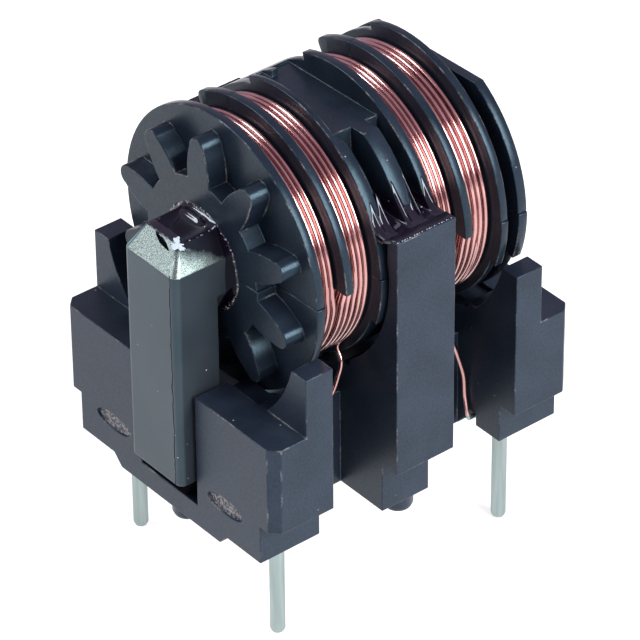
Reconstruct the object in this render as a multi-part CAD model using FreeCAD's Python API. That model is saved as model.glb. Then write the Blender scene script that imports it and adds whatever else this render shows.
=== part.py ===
import FreeCAD, Part
import math
import os
from FreeCAD import Vector

os.makedirs("parts", exist_ok=True)

# All lengths are in millimetres. X runs along the spool, from its toothed wheel (-X)
# to its plain end, Y runs across, and Z points up from the circuit board's surface.
# The origin is the middle of the four pins, on the plane that the stand-off nubs rest on.

# Pins
pin_pitch_x = 13.0
pin_pitch_y = 10.0
pin_r = 0.35
pin_root_r = 0.32
pin_root_gap = 0.7
pin_reach = 4.15
pin_tip_round = 0.22
pin_top_z = 6.0
pin_fit = 0.01

# Base: end blocks, plinths under them and the web that joins the two ends
base_half_x = 8.53
block_in_x = 5.2
block_top_z = 8.0
skirt_z = 3.5
plinth_inset = 1.0
plinth_bottom_z = 1.5
plinth_in_y = 4.08
web_half_y = 3.55
web_bottom_z = 0.95
corner_chamfer = 0.45
mark_y = 4.0
mark_z = 3.2
mark_half_y = 1.2
mark_half_z = 0.42
mark_depth = 0.12

# Base: ears that stand on the blocks beside the spool's flanges
ear_out_x = 6.69
ear_top_z = 11.03
ear_gap = 0.2
cradle_drop = 0.8
relief_gap_x = 0.15
flat_gap = 0.3

# Base: centre partition with a post on each side
post_half_x = 1.64
post_top_z = 15.82
far_post_drop = 0.2
post_gap = 0.1
post_wall = 0.68
foot_short_x = 1.05

# Base: channel for the core's lower leg, and the nubs underneath
channel_floor_z = 2.1
core_side_gap = 0.2
channel_top_z = 6.0
nub_r = 0.7
nub_round = 0.3
nub_end_x = 7.55
nub_side_y = 5.55

# Base: pockets round the pins' roots, and the grooves that lead a wire to them
pocket_r = 0.95
pocket_depth = 0.85
groove_half_w = 0.3
groove_depth = 0.6

# Core: a closed ring, with its outer edges bevelled
core_half_y = 1.8
core_height = 13.4
leg_width = 2.3
leg_gap = 0.55
bar_height = 4.15
bevel_rise = 1.18
bevel_run_x = 0.79
bevel_run_y = 0.69
core_edge_round = 0.35

# Spool: hub, rims and the angles of its own frame, which turns with it.
# An angle of 0 points to -Y, 90 points up and 180 points to +Y.
spool_turn = 2.0
spool_half_x = 6.4
bore_r = 2.5
hub_r = 3.4
rim_r = 6.65
relief_depth = 0.35
relief_start = 108.0
relief_end = 158.0
half_step = 0.05

# Spool: walls, each given by its two faces along X
front_flange = (-5.4, -4.95)
front_separator = (-3.79, -3.35)
front_wall = (-1.9, -1.3)
middle_rib = (-0.36, 0.49)
rear_wall = (1.08, 1.53)
rear_separator = (2.88, 3.32)
rear_flange = (4.9, 5.3)
end_flange_thick = 0.5
separator_end = 106.0
separator_end_round = 0.4

# Spool: flat on top of the middle and of the end flange, and what stands beside it
flat_depth = 1.22
middle_groove_depth = 1.45
thin_wall = 0.3
far_rib_width = 0.38
far_rib_y = 2.4
far_shoulder_y = 3.0
flat_near_y = 4.6

# Spool: toothed wheel in front of the front flange
tooth_count = 10
tooth_root_r = 3.8
tooth_tip_depth = 0.73
tooth_half_w = 0.72
tooth_tip_half_w = 0.5
tooth_sink = 0.3

# Windings
wire_r = 0.145
winding_depth = 0.68
winding_side_gap = 0.03
winding_end_gap = 1.5
turn_rise = 0.1
turn_flat = 0.12
first_turn_count = 4
second_turn_count = 5
spread_turn_count = 10
lead_depth = 0.4
lead_angle = -43.0
lead_edge = 0.2
lead_far_edge = 0.5
lead_bend = 0.15
wrap_step_count = 4
lead_turn_r = 0.5
lead_down_gap = 0.04
lead_hang = 1.5
lead_out = 0.1
lead_shoulder = 2.0

# Solder on the pins' roots
solder_r = 0.8
solder_low_z = 1.45
solder_toe = 0.25
solder_round = 0.1
solder_shoulder = 0.3
solder_gap = 0.05

# Adhesive
collar_r = 3.1
heap_length = 2.0
heap_half_y = 1.2
heap_rise = 0.35
heap_hollow_x_ratio = 0.45
heap_hollow_z_ratio = 0.42
post_film = 0.35
post_crest = 0.5
crest_inset = 0.1
fill_high = 37.0
fill_low = 6.0
fill_gap = 0.02

# Sizes that follow from the ones above
pin_x = pin_pitch_x / 2
pin_y = pin_pitch_y / 2
core_bottom_z = channel_floor_z
core_top_z = core_bottom_z + core_height
axis_z = core_top_z - bar_height / 2
channel_half_y = core_half_y + core_side_gap
post_in_y = rim_r + post_gap
base_half_y = post_in_y + post_wall
plinth_half_y = base_half_y - plinth_inset
leg_in_x = spool_half_x + leg_gap
core_half_x = leg_in_x + leg_width
end_wall = (spool_half_x - end_flange_thick, spool_half_x)
relief_r = rim_r - relief_depth
flat_height = rim_r - flat_depth
groove_floor_r = rim_r - middle_groove_depth
tooth_tip_r = rim_r - tooth_tip_depth
winding_r = rim_r - winding_depth
lead_x = block_in_x - lead_down_gap - wire_r
lead_z = plinth_bottom_z + groove_depth / 2

origin = Vector(0, 0, 0)
along_x = Vector(1, 0, 0)
turn_axis = Vector(-1, 0, 0)


def box(x0, x1, y0, y1, z0, z1):
    return Part.makeBox(x1 - x0, y1 - y0, z1 - z0, Vector(x0, y0, z0))


def rod(radius, x0, x1, z):
    return Part.makeCylinder(radius, x1 - x0, Vector(x0, 0, z), along_x)


def face_of(points):
    return Part.Face(Part.makePolygon(points + points[:1]))


def prism_x(outline, x0, x1):
    face = face_of([Vector(x0, y, z) for y, z in outline])
    return face.extrude(Vector(x1 - x0, 0, 0))


def mirrored(shape, axis):
    return shape.mirror(origin, axis)


def both_sides(shape, axis):
    return shape.fuse(mirrored(shape, axis))


def four_corners(shape):
    return both_sides(both_sides(shape, Vector(1, 0, 0)), Vector(0, 1, 0))


def edges_where(shape, test):
    return [edge for edge in shape.Edges if test(edge)]


def upright_at(x, y):
    def test(edge):
        box_ = edge.BoundBox
        straight = box_.XLength < 1e-4 and box_.YLength < 1e-4
        near = abs(abs(box_.XMin) - x) < 1e-3 and abs(abs(box_.YMin) - y) < 1e-3
        return straight and near
    return test


def save(name, shape):
    solid = shape.removeSplitter()
    solids = solid.Solids
    print(name, "solids", len(solids), "valid", solid.isValid(), "volume", round(solid.Volume, 3))
    shape_out = solids[0] if len(solids) == 1 else Part.makeCompound(solids)
    shape_out.exportStep("parts/%s.step" % name)


# Base

def end_block():
    outline = [
        (-base_half_y, block_top_z),
        (-base_half_y, skirt_z),
        (-plinth_half_y, skirt_z),
        (-plinth_half_y, plinth_bottom_z),
        (-plinth_in_y, plinth_bottom_z),
        (-web_half_y, web_bottom_z),
    ]
    outline += [(-y, z) for y, z in reversed(outline)]
    block = prism_x(outline, block_in_x, base_half_x)
    corners = edges_where(block, upright_at(base_half_x, base_half_y))
    return block.makeChamfer(corner_chamfer, corners)


def ear():
    tip_y = math.sqrt((rim_r + ear_gap) ** 2 - (axis_z - ear_top_z) ** 2)
    cradle_z = axis_z - cradle_drop
    cradle_r = math.hypot(tip_y, cradle_z - ear_top_z)
    blank = box(block_in_x, ear_out_x, -base_half_y, -channel_half_y, block_top_z, ear_top_z)
    return blank.cut(rod(cradle_r, 0, base_half_x, cradle_z))


def partition():
    plate = box(-post_half_x, post_half_x, -base_half_y, -channel_half_y, skirt_z, post_top_z)
    foot = box(-post_half_x, foot_short_x, -plinth_half_y, -channel_half_y, web_bottom_z, skirt_z)
    well = rod(post_in_y, -post_half_x, post_half_x, axis_z)
    way_in = box(-post_half_x, post_half_x, -post_in_y, 0, axis_z, post_top_z)
    side = plate.cut(well).cut(way_in).fuse(foot)
    other = side.copy()
    other.rotate(origin, Vector(0, 0, 1), 180)
    short_z = post_top_z - far_post_drop
    over = box(-post_half_x, post_half_x, post_in_y, base_half_y, short_z, post_top_z)
    return side.fuse(other.cut(over))


def upright(outline, x, y):
    shape = face_of([Vector(r, 0, z) for r, z in outline]).revolve(origin, Vector(0, 0, 1), 360)
    shape.translate(Vector(x, y, 0))
    return shape


def round_tip(radius, tip_round, tip_z):
    cut = tip_round * (1 - math.sqrt(0.5))
    return [
        (0, tip_z),
        (radius - tip_round, tip_z),
        (radius - cut, tip_z + cut),
        (radius, tip_z + tip_round),
    ]


def nub(x, y, top_z):
    return upright(round_tip(nub_r, nub_round, 0) + [(nub_r, top_z), (0, top_z)], x, y)


def pin_seat():
    bore = Part.makeCylinder(pin_root_r + pin_fit, pin_top_z, Vector(pin_x, pin_y, 0))
    pocket = Part.makeCylinder(pocket_r, plinth_bottom_z + pocket_depth, Vector(pin_x, pin_y, 0))
    lead_y = pin_y - lead_turn_r
    groove = box(
        block_in_x, pin_x, lead_y - groove_half_w, lead_y + groove_half_w,
        0, plinth_bottom_z + groove_depth,
    )
    return bore.fuse(pocket).fuse(groove)


def oval_mark(y):
    ring = Part.Ellipse(Vector(0, 0, 0), mark_half_y, mark_half_z)
    face = Part.Face(Part.Wire(ring.toShape()))
    mark = face.extrude(Vector(0, 0, mark_depth))
    mark.rotate(origin, Vector(0, 0, 1), 90)
    mark.rotate(origin, Vector(0, 1, 0), 90)
    mark.translate(Vector(-base_half_x, y, mark_z))
    return mark


def base():
    ends = both_sides(end_block(), Vector(1, 0, 0))
    ears = four_corners(ear())
    web = box(-base_half_x, base_half_x, -web_half_y, web_half_y, web_bottom_z, channel_floor_z)
    side_wall = box(
        -block_in_x, block_in_x, channel_half_y, web_half_y, channel_floor_z, channel_top_z,
    )
    walls = both_sides(side_wall, Vector(0, 1, 0))
    body = ends.fuse([ears, web, walls, partition()])
    channel = box(
        -base_half_x, base_half_x, -channel_half_y, channel_half_y, channel_floor_z, block_top_z,
    )
    relief_x = -front_flange[0] + relief_gap_x
    relief = rod(rim_r + ear_gap, -relief_x, relief_x, axis_z)
    under_z = axis_z - flat_height - flat_gap
    under_y = math.sqrt((rim_r + ear_gap) ** 2 - (axis_z - block_top_z) ** 2)
    under_flat = box(-ear_out_x, ear_out_x, -under_y, under_y, under_z, ear_top_z)
    body = body.cut([channel, relief, under_flat, four_corners(pin_seat())])
    body = body.fuse([
        nub(nub_end_x, 0, web_bottom_z),
        nub(-nub_end_x, 0, web_bottom_z),
        nub(0, nub_side_y, web_bottom_z),
        nub(0, -nub_side_y, web_bottom_z),
    ])
    return body.cut([oval_mark(mark_y), oval_mark(-mark_y)])


# Core

def hipped_end(z_wide, z_narrow):
    def rectangle(half_x, half_y, z):
        corners = [(-1, -1), (1, -1), (1, 1), (-1, 1)]
        points = [Vector(sx * half_x, sy * half_y, z) for sx, sy in corners]
        return Part.makePolygon(points + points[:1])
    wide = rectangle(core_half_x, core_half_y, z_wide)
    narrow = rectangle(core_half_x - bevel_run_x, core_half_y - bevel_run_y, z_narrow)
    return Part.makeLoft([wide, narrow], True, True)


def inner_bevel(z_edge, rise):
    outline = [
        (core_half_y, z_edge),
        (core_half_y, z_edge + rise),
        (core_half_y - bevel_run_y, z_edge),
    ]
    return both_sides(prism_x(outline, -leg_in_x, leg_in_x), Vector(0, 1, 0))


def core():
    low_z = core_bottom_z + bevel_rise
    high_z = core_top_z - bevel_rise
    trunk = box(-core_half_x, core_half_x, -core_half_y, core_half_y, low_z, high_z)
    corners = edges_where(trunk, upright_at(core_half_x, core_half_y))
    trunk = trunk.makeFillet(core_edge_round, corners)
    hull = hipped_end(high_z, core_top_z).fuse(hipped_end(low_z, core_bottom_z)).fuse(trunk)
    window_low = core_bottom_z + bar_height
    window_high = core_top_z - bar_height
    window = box(-leg_in_x, leg_in_x, -core_half_y, core_half_y, window_low, window_high)
    bevels = inner_bevel(window_high, bevel_rise).fuse(inner_bevel(window_low, -bevel_rise))
    return hull.cut([window, bevels])


# Spool

def turned(face, start, end):
    part = face.copy()
    part.rotate(origin, turn_axis, start)
    return part.revolve(origin, turn_axis, end - start)


def ring(wall, inner_r, outer_r, start=0.0, end=180.0):
    x0, x1 = wall
    outline = [(x0, inner_r), (x1, inner_r), (x1, outer_r), (x0, outer_r)]
    return turned(face_of([Vector(x, -r, 0) for x, r in outline]), start, end)


def relieved(wall):
    full = ring(wall, bore_r, rim_r)
    return full.cut(ring(wall, relief_r, 2 * rim_r, relief_start, relief_end))


def separator(wall):
    blade = ring(wall, bore_r, rim_r, 0, separator_end)
    x0, x1 = wall
    end = math.radians(separator_end)
    tip = Vector(0, -rim_r * math.cos(end), rim_r * math.sin(end))

    def at_tip(edge):
        box_ = edge.BoundBox
        across = box_.YLength < 1e-4 and box_.ZLength < 1e-4
        return across and (Vector(0, box_.YMin, box_.ZMin) - tip).Length < 1e-3

    return blade.makeFillet(separator_end_round, edges_where(blade, at_tip))


def tooth(angle):
    root_x = tooth_root_r - tooth_sink
    tip_start = tooth_tip_r - tooth_tip_half_w
    corner_low = Vector(0, -root_x, -tooth_half_w)
    corner_high = Vector(0, -root_x, tooth_half_w)
    tip_low = Vector(0, -tip_start, -tooth_tip_half_w)
    tip_high = Vector(0, -tip_start, tooth_tip_half_w)
    belly = (root_x + tip_start) / 2
    edges = [
        Part.LineSegment(corner_high, corner_low),
        Part.Arc(corner_low, Vector(0, -belly, -tooth_half_w), tip_low),
        Part.Arc(tip_low, Vector(0, -tooth_tip_r, 0), tip_high),
        Part.Arc(tip_high, Vector(0, -belly, tooth_half_w), corner_high),
    ]
    face = Part.Face(Part.Wire([edge.toShape() for edge in edges]))
    face.translate(Vector(-spool_half_x, 0, 0))
    blade = face.extrude(Vector(front_flange[0] + spool_half_x, 0, 0))
    blade.rotate(origin, turn_axis, angle)
    return blade


def toothed_wheel():
    disc = ring((-spool_half_x, front_flange[0]), bore_r, tooth_root_r)
    pitch = 360.0 / tooth_count
    first = pitch / 2
    teeth = [tooth(first + pitch * i) for i in range(tooth_count // 2)]
    return disc.fuse(teeth)


def middle():
    span = (front_wall[1], rear_wall[0])
    drum = ring(span, bore_r, groove_floor_r)
    plateau = box(span[0], span[1], -far_shoulder_y, far_shoulder_y, hub_r / 2, flat_height)
    plateau = plateau.cut(rod(bore_r, span[0], span[1], 0))
    near_rib = ring(middle_rib, bore_r, rim_r, 0, 90)
    shoulder = ring(span, bore_r, relief_r, 90, 180)
    shoulder = shoulder.cut(box(span[0], span[1], 0, far_shoulder_y, flat_height, rim_r))
    far_rib = ring((middle_rib[0], middle_rib[0] + far_rib_width), bore_r, relief_r, 90, 180)
    far_rib = far_rib.cut(box(span[0], span[1], 0, far_rib_y, flat_height, rim_r))
    return drum.fuse([plateau, near_rib, shoulder, far_rib])


def flat_cuts():
    pocket = box(
        front_wall[1] - thin_wall, rear_wall[0], -flat_near_y, far_rib_y, flat_height, rim_r,
    )
    rear_top = box(*end_wall, -rim_r, rim_r, flat_height, rim_r)
    return [pocket, rear_top]


def spool_half():
    hub = ring((-spool_half_x, spool_half_x), bore_r, hub_r)
    pieces = [
        toothed_wheel(),
        ring(front_flange, bore_r, rim_r),
        separator(front_separator),
        relieved(front_wall),
        relieved(rear_wall),
        separator(rear_separator),
        relieved(rear_flange),
        relieved(end_wall),
        middle(),
    ]
    return hub.fuse(pieces).cut(flat_cuts())


def seated(shape):
    placed = shape.copy()
    placed.rotate(origin, turn_axis, spool_turn)
    placed.translate(Vector(0, 0, axis_z))
    return placed


def spool_halves():
    upper = spool_half()
    lower = upper.copy()
    lower.rotate(origin, along_x, 180)
    lower.translate(Vector(0, -half_step, 0))
    return seated(upper), seated(lower)


# Windings

def wound(x0, x1, count, start, end):
    pitch = (x1 - x0 - 2 * winding_side_gap) / count
    bed_r = winding_r - turn_rise
    inner_r = hub_r + half_step
    left = x0 + winding_side_gap
    outline = [(left, inner_r), (left, bed_r)]
    for i in range(count):
        crown_x = left + (i + 0.5) * pitch
        outline.append((crown_x - turn_flat / 2, winding_r))
        outline.append((crown_x + turn_flat / 2, winding_r))
        outline.append((left + (i + 1) * pitch, bed_r))
    outline.append((left + count * pitch, inner_r))
    return turned(face_of([Vector(x, -r, 0) for x, r in outline]), start, end)


def coil(x0, split, x1):
    solids = []
    tied = separator_end + winding_end_gap
    for half_turn in (0.0, 180.0):
        tight = (half_turn - winding_end_gap, half_turn + tied)
        solids.append(wound(x0, split[0], first_turn_count, *tight))
        solids.append(wound(split[1], x1, second_turn_count, *tight))
        solids.append(wound(x0, x1, spread_turn_count, tight[1], half_turn + 180.0 - winding_end_gap))
    return solids[0].fuse(solids[1:])


def lead(end_sign, side_sign, start_x):
    angle = math.radians(lead_angle)
    start_r = winding_r - lead_depth
    start = Vector(
        start_x,
        side_sign * start_r * math.cos(angle),
        axis_z + start_r * math.sin(angle),
    )
    lead_y = pin_y - lead_turn_r
    down_x = end_sign * lead_x
    points = [
        start,
        Vector(start.x, start.y + side_sign * lead_out, start.z - lead_hang),
        Vector(down_x, side_sign * lead_y, lead_z + lead_shoulder),
        Vector(down_x, side_sign * lead_y, lead_z + lead_bend),
        Vector(down_x + end_sign * lead_bend, side_sign * lead_y, lead_z),
    ]
    step = math.radians(180 / wrap_step_count)
    corner_r = lead_turn_r / math.cos(step / 2)
    for i in range(wrap_step_count):
        turn = (i + 0.5) * step
        x = pin_x + corner_r * math.sin(turn)
        y = pin_y - corner_r * math.cos(turn)
        points.append(Vector(end_sign * x, side_sign * y, lead_z))
    points.append(Vector(end_sign * pin_x, side_sign * (pin_y + lead_turn_r), lead_z))
    profile = Part.Wire(Part.Circle(start, points[1] - start, wire_r).toShape())
    mitred = 1
    return Part.makePolygon(points).makePipeShell([profile], True, True, mitred)


def winding(x0, split, x1, leads):
    coiled = seated(coil(x0, split, x1))
    return coiled.fuse(leads)


# Pins, solder and adhesive

def pin(x, y):
    tip = round_tip(pin_r, pin_tip_round, -pin_reach)
    root_z = plinth_bottom_z - pin_root_gap
    root = [
        (pin_r, root_z),
        (pin_root_r, root_z + pin_r - pin_root_r),
        (pin_root_r, pin_top_z),
        (0, pin_top_z),
    ]
    return upright(tip + root, x, y)


def solder(x, y):
    top_z = plinth_bottom_z + pocket_depth - solder_gap
    outline = [
        (pin_root_r, solder_low_z),
        (solder_r - solder_round, solder_low_z + solder_toe),
        (solder_r, top_z - solder_shoulder),
        (solder_r - solder_round, top_z),
        (pin_root_r, top_z),
    ]
    return upright(outline, x, y)


def end_collar(sign):
    collar = rod(collar_r, spool_half_x, leg_in_x, axis_z)
    return collar if sign > 0 else mirrored(collar, along_x)


def heap():
    rear = Vector(-spool_half_x, 0, core_top_z - bevel_rise)
    top = Vector(-spool_half_x, 0, core_top_z + heap_rise)
    toe = Vector(-spool_half_x - heap_length, 0, core_top_z)
    hollow_x = rear.x - heap_length * heap_hollow_x_ratio
    middle_point = Vector(hollow_x, 0, core_top_z + heap_rise * heap_hollow_z_ratio)
    edges = [
        Part.LineSegment(rear, top),
        Part.Arc(top, middle_point, toe),
        Part.LineSegment(toe, Vector(toe.x, 0, rear.z)),
        Part.LineSegment(Vector(toe.x, 0, rear.z), rear),
    ]
    face = Part.Face(Part.Wire([edge.toShape() for edge in edges]))
    face.translate(Vector(0, -heap_half_y, 0))
    return face.extrude(Vector(0, 2 * heap_half_y, 0))


def post_fill(side_sign):
    film_z = post_top_z + post_film
    high = math.radians(fill_high)
    low = math.radians(fill_low)
    outer_r = rim_r + post_gap
    high_out = Vector(0, -outer_r * math.cos(high), axis_z + outer_r * math.sin(high))
    high_in = Vector(0, -groove_floor_r * math.cos(high), axis_z + groove_floor_r * math.sin(high))
    low_in = Vector(0, -groove_floor_r * math.cos(low), axis_z + groove_floor_r * math.sin(low))
    mid = (high + low) / 2
    mid_in = Vector(0, -groove_floor_r * math.cos(mid), axis_z + groove_floor_r * math.sin(mid))
    low_out = Vector(0, -post_in_y, low_in.z)
    post_edge = Vector(0, -post_in_y, post_top_z)
    lip = Vector(0, -base_half_y, post_top_z)
    crest = Vector(0, -post_in_y + crest_inset, post_top_z + post_crest)
    edges = [
        Part.LineSegment(high_out, high_in),
        Part.Arc(high_in, mid_in, low_in),
        Part.LineSegment(low_in, low_out),
        Part.LineSegment(low_out, post_edge),
        Part.LineSegment(post_edge, lip),
        Part.Arc(lip, Vector(0, -(base_half_y + post_in_y) / 2, film_z), crest),
        Part.LineSegment(crest, high_out),
    ]
    face = Part.Face(Part.Wire([edge.toShape() for edge in edges]))
    face.translate(Vector(front_wall[1] + fill_gap, 0, 0))
    fill = face.extrude(Vector(rear_wall[0] - front_wall[1] - 2 * fill_gap, 0, 0))
    return fill if side_sign < 0 else mirrored(fill, Vector(0, 1, 0))


# The whole choke

base_solid = base()
core_solid = core()
upper_half, lower_half = spool_halves()

front_leads = [
    lead(-1, -1, front_wall[0] - lead_edge),
    lead(-1, 1, front_flange[1] + lead_far_edge),
]
rear_leads = [
    lead(1, -1, rear_flange[0] - lead_far_edge),
    lead(1, 1, rear_wall[1] + lead_far_edge),
]
front_coil = winding(front_flange[1], front_separator, front_wall[0], front_leads)
rear_coil = winding(rear_wall[1], rear_separator, rear_flange[0], rear_leads)

save("base", base_solid)
save("core", core_solid)
save("bobbin_upper", upper_half)
save("bobbin_lower", lower_half)
save("winding_front", front_coil)
save("winding_rear", rear_coil)

corners = [
    ("front_right", -pin_x, -pin_y),
    ("front_left", -pin_x, pin_y),
    ("rear_right", pin_x, -pin_y),
    ("rear_left", pin_x, pin_y),
]
for corner_name, x, y in corners:
    save("pin_" + corner_name, pin(x, y))
    save("solder_" + corner_name, solder(x, y).cut([front_coil, rear_coil]))

spool = [upper_half, lower_half]
front_glue = end_collar(-1).fuse(heap()).cut([core_solid] + spool)
save("adhesive_front", front_glue)
save("adhesive_rear", end_collar(1).cut([core_solid] + spool))
save("adhesive_right", post_fill(-1).cut([base_solid] + spool))
save("adhesive_left", post_fill(1).cut([base_solid] + spool))
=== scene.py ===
# %% [markdown]
# # A common mode choke, dressed for its portrait
# The choke is a closed ferrite core standing on edge in a black moulded base. A bobbin made of
# two halves turns round the core's upper leg and carries two copper windings.
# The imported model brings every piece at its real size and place, as plain solids. This lesson
# gives them their edges, turns of wire, glue and finish. Sizes are written in millimetres, and
# a helper turns them into the scene's metres.

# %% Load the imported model
import math
import random

import bmesh
import bpy
from mathutils import Matrix, Vector
from mathutils.bvhtree import BVHTree
from mathutils.kdtree import KDTree


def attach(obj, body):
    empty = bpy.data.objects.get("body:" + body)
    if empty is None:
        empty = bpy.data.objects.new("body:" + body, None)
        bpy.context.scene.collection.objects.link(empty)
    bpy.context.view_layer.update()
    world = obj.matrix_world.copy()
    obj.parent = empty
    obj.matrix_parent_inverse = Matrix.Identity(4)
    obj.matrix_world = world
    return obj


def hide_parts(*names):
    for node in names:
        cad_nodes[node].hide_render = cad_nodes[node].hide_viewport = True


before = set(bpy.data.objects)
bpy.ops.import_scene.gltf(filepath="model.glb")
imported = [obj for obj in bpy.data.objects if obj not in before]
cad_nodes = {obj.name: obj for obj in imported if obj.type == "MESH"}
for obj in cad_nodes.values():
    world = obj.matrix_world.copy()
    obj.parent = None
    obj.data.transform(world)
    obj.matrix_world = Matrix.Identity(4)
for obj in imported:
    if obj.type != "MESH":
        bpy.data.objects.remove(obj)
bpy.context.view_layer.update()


def mm(value):
    return value * 0.001


def between(start, end, share):
    return start + (end - start) * share


print("loaded", len(cad_nodes), "solids")

# %% [markdown]
# ## The camera
# The photograph was taken with a long lens from the front left, looking down at about 36
# degrees. Direction, distance and lens were solved from the object's own corners. A camera
# looks along its own -Z, so its rotation has right, up and backward as its columns.

# %% Set the camera
view_turn = math.radians(-38.9623)
view_rise = math.radians(35.5865)
view_roll = math.radians(-0.5497)
view_distance = 206.344
view_shift = (0.137, -4.147)
aim_height = 12.2
lens_length = 264.302

back = Vector((
    math.sin(view_turn) * math.cos(view_rise),
    -math.cos(view_turn) * math.cos(view_rise),
    math.sin(view_rise),
))
level_right = Vector((math.cos(view_turn), math.sin(view_turn), 0))
level_up = back.cross(level_right)
right = level_right * math.cos(view_roll) + level_up * math.sin(view_roll)
up = level_up * math.cos(view_roll) - level_right * math.sin(view_roll)

camera_data = bpy.data.cameras.new("camera")
camera_data.sensor_width = 36
camera_data.lens = lens_length
camera_data.clip_start = mm(10)
camera_data.clip_end = 10
camera = bpy.data.objects.new("camera", camera_data)
eye = right * view_shift[0] + up * view_shift[1] + back * view_distance
eye.z += aim_height
turn = Matrix((right, up, back)).transposed().to_4x4()
camera.matrix_world = Matrix.Translation(eye * 0.001) @ turn
bpy.context.scene.collection.objects.link(camera)
bpy.context.scene.camera = camera
print("camera at", [round(value, 1) for value in eye], "mm")

# %% [markdown]
# ## Floor and light
# The photograph has a pure white ground, a soft box at each side of the object, and a smaller
# one behind it on the left. So the upright faces are blue-grey, since they mirror the white
# ground, and the level faces are nearly black, since they mirror the dark room. The floor
# glows a little, so that it stays white and throws light back up.

# %% Lay the floor
scene = bpy.context.scene
scene.view_settings.view_transform = "Standard"
floor_height = -4.16
floor_half_size = 1.5
floor_pale = (0.35, 0.35, 0.35, 1)
floor_glow = 0.78


def piece_of(name, form):
    mesh = bpy.data.meshes.new(name)
    form.to_mesh(mesh)
    form.free()
    piece = bpy.data.objects.new(name, mesh)
    scene.collection.objects.link(piece)
    return piece


form = bmesh.new()
bmesh.ops.create_grid(form, x_segments=1, y_segments=1, size=floor_half_size)
bmesh.ops.translate(form, vec=(0, 0, mm(floor_height)), verts=form.verts)
floor = piece_of("floor", form)
material = bpy.data.materials.new("pale_floor")
material.use_nodes = True
shader = material.node_tree.nodes["Principled BSDF"]
shader.inputs["Base Color"].default_value = floor_pale
shader.inputs["Roughness"].default_value = 0.9
shader.inputs["Emission Color"].default_value = (1, 1, 1, 1)
shader.inputs["Emission Strength"].default_value = floor_glow
floor.data.materials.append(material)
print("floor at", floor_height, "mm")

# %% [markdown]
# The boxes stand where the highlights on the round windings need them.

# %% Hang the soft boxes
soft_box_distance = 0.5
big_box = (0.32, 0.34)
small_box = (0.20, 0.12)
box_target = (0, 0, 0.01)
room_colour = (0.53, 0.43, 0.56, 1)


def add_soft_box(name, direction, size, watts):
    light = bpy.data.lights.new(name, "AREA")
    light.shape = "RECTANGLE"
    light.size, light.size_y = size
    light.energy = watts
    lamp = bpy.data.objects.new(name, light)
    away = Vector(direction).normalized()
    lamp.location = Vector(box_target) + away * soft_box_distance
    lamp.rotation_euler = away.to_track_quat("Z", "Y").to_euler()
    scene.collection.objects.link(lamp)


add_soft_box("right_soft_box", (0.15, -0.84, 0.52), big_box, 6.2)
add_soft_box("left_soft_box", (-0.83, 0.44, 0.34), big_box, 1.3)
add_soft_box("high_soft_box", (-0.45, 0.48, 0.75), small_box, 1.2)

world = bpy.data.worlds.new("dim_room")
world.use_nodes = True
background = world.node_tree.nodes["Background"]
background.inputs["Color"].default_value = room_colour
background.inputs["Strength"].default_value = 1.0
scene.world = world
print("three soft boxes at", soft_box_distance, "m")

# %% [markdown]
# ## Effects that several finishes share
# Moulded plastic, ferrite and glue all have some fine unevenness and some specks of dust.
# Each effect is a node group, built once. A group reads Object coordinates, which are metres
# here, so a Scale of 1000 gives one cell of noise to the millimetre. Helpers add a node or a
# calculation: an input that is a socket is joined, and any other value is set.

# %% Build the shared node groups


def fill(tree, socket, value):
    if isinstance(value, bpy.types.NodeSocket):
        tree.links.new(value, socket)
    else:
        socket.default_value = value


def add_node(tree, kind, **values):
    node = tree.nodes.new(kind)
    for label, value in values.items():
        fill(tree, node.inputs[label.replace("_", " ")], value)
    return node


def calculate(tree, operation, *values):
    node = tree.nodes.new("ShaderNodeMath")
    node.operation = operation
    for socket, value in zip(node.inputs, values):
        fill(tree, socket, value)
    return node.outputs["Value"]


def times(tree, first, second):
    return calculate(tree, "MULTIPLY", first, second)


def object_place(tree):
    return tree.nodes.new("ShaderNodeTexCoord").outputs["Object"]


def new_group(name, inputs, outputs):
    group = bpy.data.node_groups.new(name, "ShaderNodeTree")
    for label, default in inputs:
        socket = group.interface.new_socket(label, in_out="INPUT", socket_type="NodeSocketFloat")
        socket.default_value = default
    for label in outputs:
        group.interface.new_socket(label, in_out="OUTPUT", socket_type="NodeSocketFloat")
    entry = group.nodes.new("NodeGroupInput")
    leave = group.nodes.new("NodeGroupOutput")
    return group, entry, leave


def grain_group():
    group, entry, leave = new_group(
        "fine_grain",
        [("Scale", 8000.0), ("Patch Scale", 300.0)],
        ["Height", "Patches"],
    )
    place = object_place(group)
    fine = add_node(group, "ShaderNodeTexNoise", Vector=place, Detail=3, Roughness=0.6)
    broad = add_node(group, "ShaderNodeTexNoise", Vector=place, Detail=4)
    group.links.new(entry.outputs["Scale"], fine.inputs["Scale"])
    group.links.new(entry.outputs["Patch Scale"], broad.inputs["Scale"])
    group.links.new(fine.outputs["Fac"], leave.inputs["Height"])
    group.links.new(broad.outputs["Fac"], leave.inputs["Patches"])
    return group


def speck_group():
    group, entry, leave = new_group(
        "dust_specks",
        [("Scale", 2500.0), ("Size", 0.10), ("Share", 0.06)],
        ["Mask"],
    )
    cells = add_node(
        group, "ShaderNodeTexVoronoi", Vector=object_place(group), Scale=entry.outputs["Scale"],
    )
    split = add_node(group, "ShaderNodeSeparateColor", Color=cells.outputs["Color"])
    near = calculate(group, "LESS_THAN", cells.outputs["Distance"], entry.outputs["Size"])
    chosen = calculate(group, "LESS_THAN", split.outputs["Red"], entry.outputs["Share"])
    group.links.new(times(group, near, chosen), leave.inputs["Mask"])
    return group


fine_grain = grain_group()
dust_specks = speck_group()
print("node groups", fine_grain.name, dust_specks.name)

# %% [markdown]
# ## Small helpers for building a material
# A material is one Principled shader with a few nodes in front of it, which these helpers
# place and join. A Mix node's colours are its inputs 6 and 7 and its output 2.

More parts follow.
